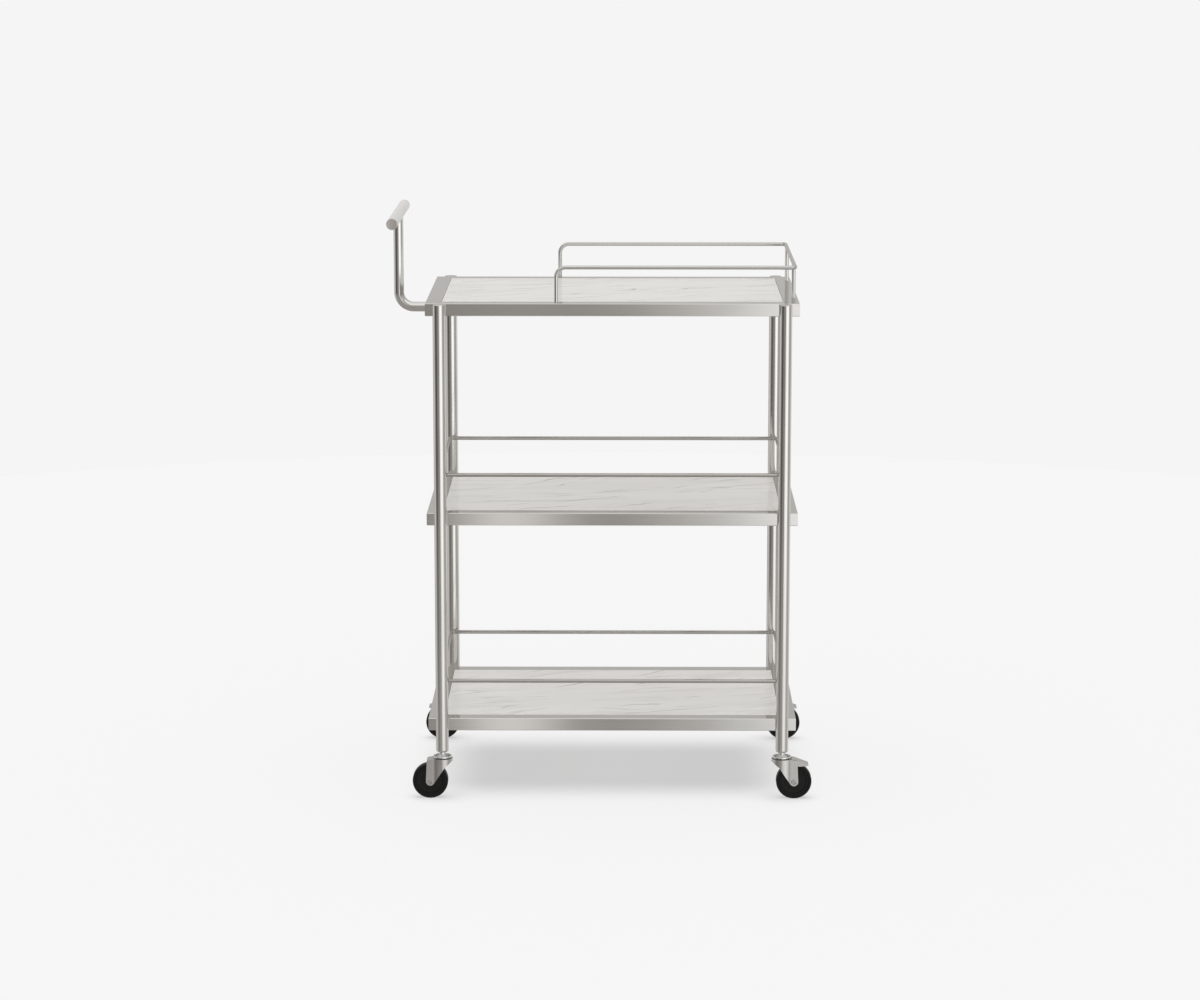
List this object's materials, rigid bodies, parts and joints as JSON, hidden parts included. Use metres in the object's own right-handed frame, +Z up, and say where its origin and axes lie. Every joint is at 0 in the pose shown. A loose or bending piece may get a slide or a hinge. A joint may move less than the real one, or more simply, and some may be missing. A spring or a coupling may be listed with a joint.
{
  "type": "bar cart",
  "caption": "Bar cart on swivel casters: tiered shelves with steel rims and pale panels between round posts, rod rails, a guard rail on top and a T-shaped push handle.",
  "frame": {"origin": "on the floor under the middle of the whole cart's outline", "axes": "+X towards the end away from the push handle, +Y from the front to the rear, +Z up"},
  "size_m": [0.642, 0.4, 0.8815],
  "materials": {
    "stainless": "brushed",
    "satin_steel": "fine satin",
    "cap_steel": "satin",
    "zinc": "bright zinc plate",
    "rivet_steel": "bright",
    "ball_steel": "polished",
    "plain_steel": "plain",
    "panel": "smooth pale face with a soft grey stone-like vein",
    "wheel_core": "semi-gloss",
    "tyre": "semi-gloss"
  },
  "bodies": {
    "frame": {"post_front_left": "stainless", "post_front_right": "stainless", "post_rear_left": "stainless", "post_rear_right": "stainless", "post_top_caps": "stainless", "post_foot_sockets": "plain_steel", "shelf_frame_top": "stainless", "shelf_frame_middle": "stainless", "shelf_frame_bottom": "stainless", "shelf_panel_top": "panel", "shelf_panel_middle": "panel", "shelf_panel_bottom": "panel", "shelf_stiffeners": "stainless", "shelf_bolts": "zinc", "post_bushes": "zinc", "rail_middle": "stainless", "rail_bottom": "stainless", "guard_rail": "stainless", "guard_legs_right": "stainless", "guard_screws": "zinc", "handle_tube": "stainless", "handle_grip": "satin_steel", "grip_end_caps": "cap_steel", "handle_screws": "zinc", "handle_nuts": "zinc", "raceway_caps": "zinc", "bearing_balls": "ball_steel", "stem_front_left": "zinc", "stem_front_right": "zinc", "stem_rear_left": "zinc", "stem_rear_right": "zinc"},
    "swivel_front_left": {"fork_front_left": "zinc", "axle_rivet_front_left": "rivet_steel", "axle_sleeve_front_left": "plain_steel"},
    "wheel_front_left": {"wheel_core_front_left": "wheel_core", "tyre_front_left": "tyre"},
    "swivel_front_right": {"fork_front_right": "zinc", "axle_rivet_front_right": "rivet_steel", "axle_sleeve_front_right": "plain_steel", "brake_pin_front_right": "zinc"},
    "wheel_front_right": {"wheel_core_front_right": "wheel_core", "tyre_front_right": "tyre"},
    "brake_front_right": {"brake_pedal_front_right": "zinc"},
    "swivel_rear_left": {"fork_rear_left": "zinc", "axle_rivet_rear_left": "rivet_steel", "axle_sleeve_rear_left": "plain_steel", "brake_pin_rear_left": "zinc"},
    "wheel_rear_left": {"wheel_core_rear_left": "wheel_core", "tyre_rear_left": "tyre"},
    "brake_rear_left": {"brake_pedal_rear_left": "zinc"},
    "swivel_rear_right": {"fork_rear_right": "zinc", "axle_rivet_rear_right": "rivet_steel", "axle_sleeve_rear_right": "plain_steel", "brake_pin_rear_right": "zinc"},
    "wheel_rear_right": {"wheel_core_rear_right": "wheel_core", "tyre_rear_right": "tyre"},
    "brake_rear_right": {"brake_pedal_rear_right": "zinc"}
  },
  "joints": [
    {"name": "swivel_front_left", "type": "hinge", "parent": "frame", "child": "swivel_front_left", "pos_m": [-0.24155, -0.1845, 0.06], "axis": [0, 0, 1], "continuous": true},
    {"name": "roll_front_left", "type": "hinge", "parent": "swivel_front_left", "child": "wheel_front_left", "pos_m": [-0.26005, -0.1845, 0.027], "axis": [0, 1, 0], "continuous": true},
    {"name": "swivel_front_right", "type": "hinge", "parent": "frame", "child": "swivel_front_right", "pos_m": [0.27545, -0.1845, 0.06], "axis": [0, 0, 1], "continuous": true},
    {"name": "roll_front_right", "type": "hinge", "parent": "swivel_front_right", "child": "wheel_front_right", "pos_m": [0.29395, -0.1845, 0.027], "axis": [0, 1, 0], "continuous": true},
    {"name": "brake_front_right", "type": "hinge", "parent": "swivel_front_right", "child": "brake_front_right", "pos_m": [0.29295, -0.1845, 0.0577], "axis": [0, 1, 0], "range_deg": [0, 11]},
    {"name": "swivel_rear_left", "type": "hinge", "parent": "frame", "child": "swivel_rear_left", "pos_m": [-0.24155, 0.1845, 0.06], "axis": [0, 0, 1], "continuous": true},
    {"name": "roll_rear_left", "type": "hinge", "parent": "swivel_rear_left", "child": "wheel_rear_left", "pos_m": [-0.26005, 0.1845, 0.027], "axis": [0, 1, 0], "continuous": true},
    {"name": "brake_rear_left", "type": "hinge", "parent": "swivel_rear_left", "child": "brake_rear_left", "pos_m": [-0.25905, 0.1845, 0.0577], "axis": [0, -1, 0], "range_deg": [0, 11]},
    {"name": "swivel_rear_right", "type": "hinge", "parent": "frame", "child": "swivel_rear_right", "pos_m": [0.27545, 0.1845, 0.06], "axis": [0, 0, 1], "continuous": true},
    {"name": "roll_rear_right", "type": "hinge", "parent": "swivel_rear_right", "child": "wheel_rear_right", "pos_m": [0.29395, 0.1845, 0.027], "axis": [0, 1, 0], "continuous": true},
    {"name": "brake_rear_right", "type": "hinge", "parent": "swivel_rear_right", "child": "brake_rear_right", "pos_m": [0.29295, 0.1845, 0.0577], "axis": [0, 1, 0], "range_deg": [0, 11]}
  ]
}
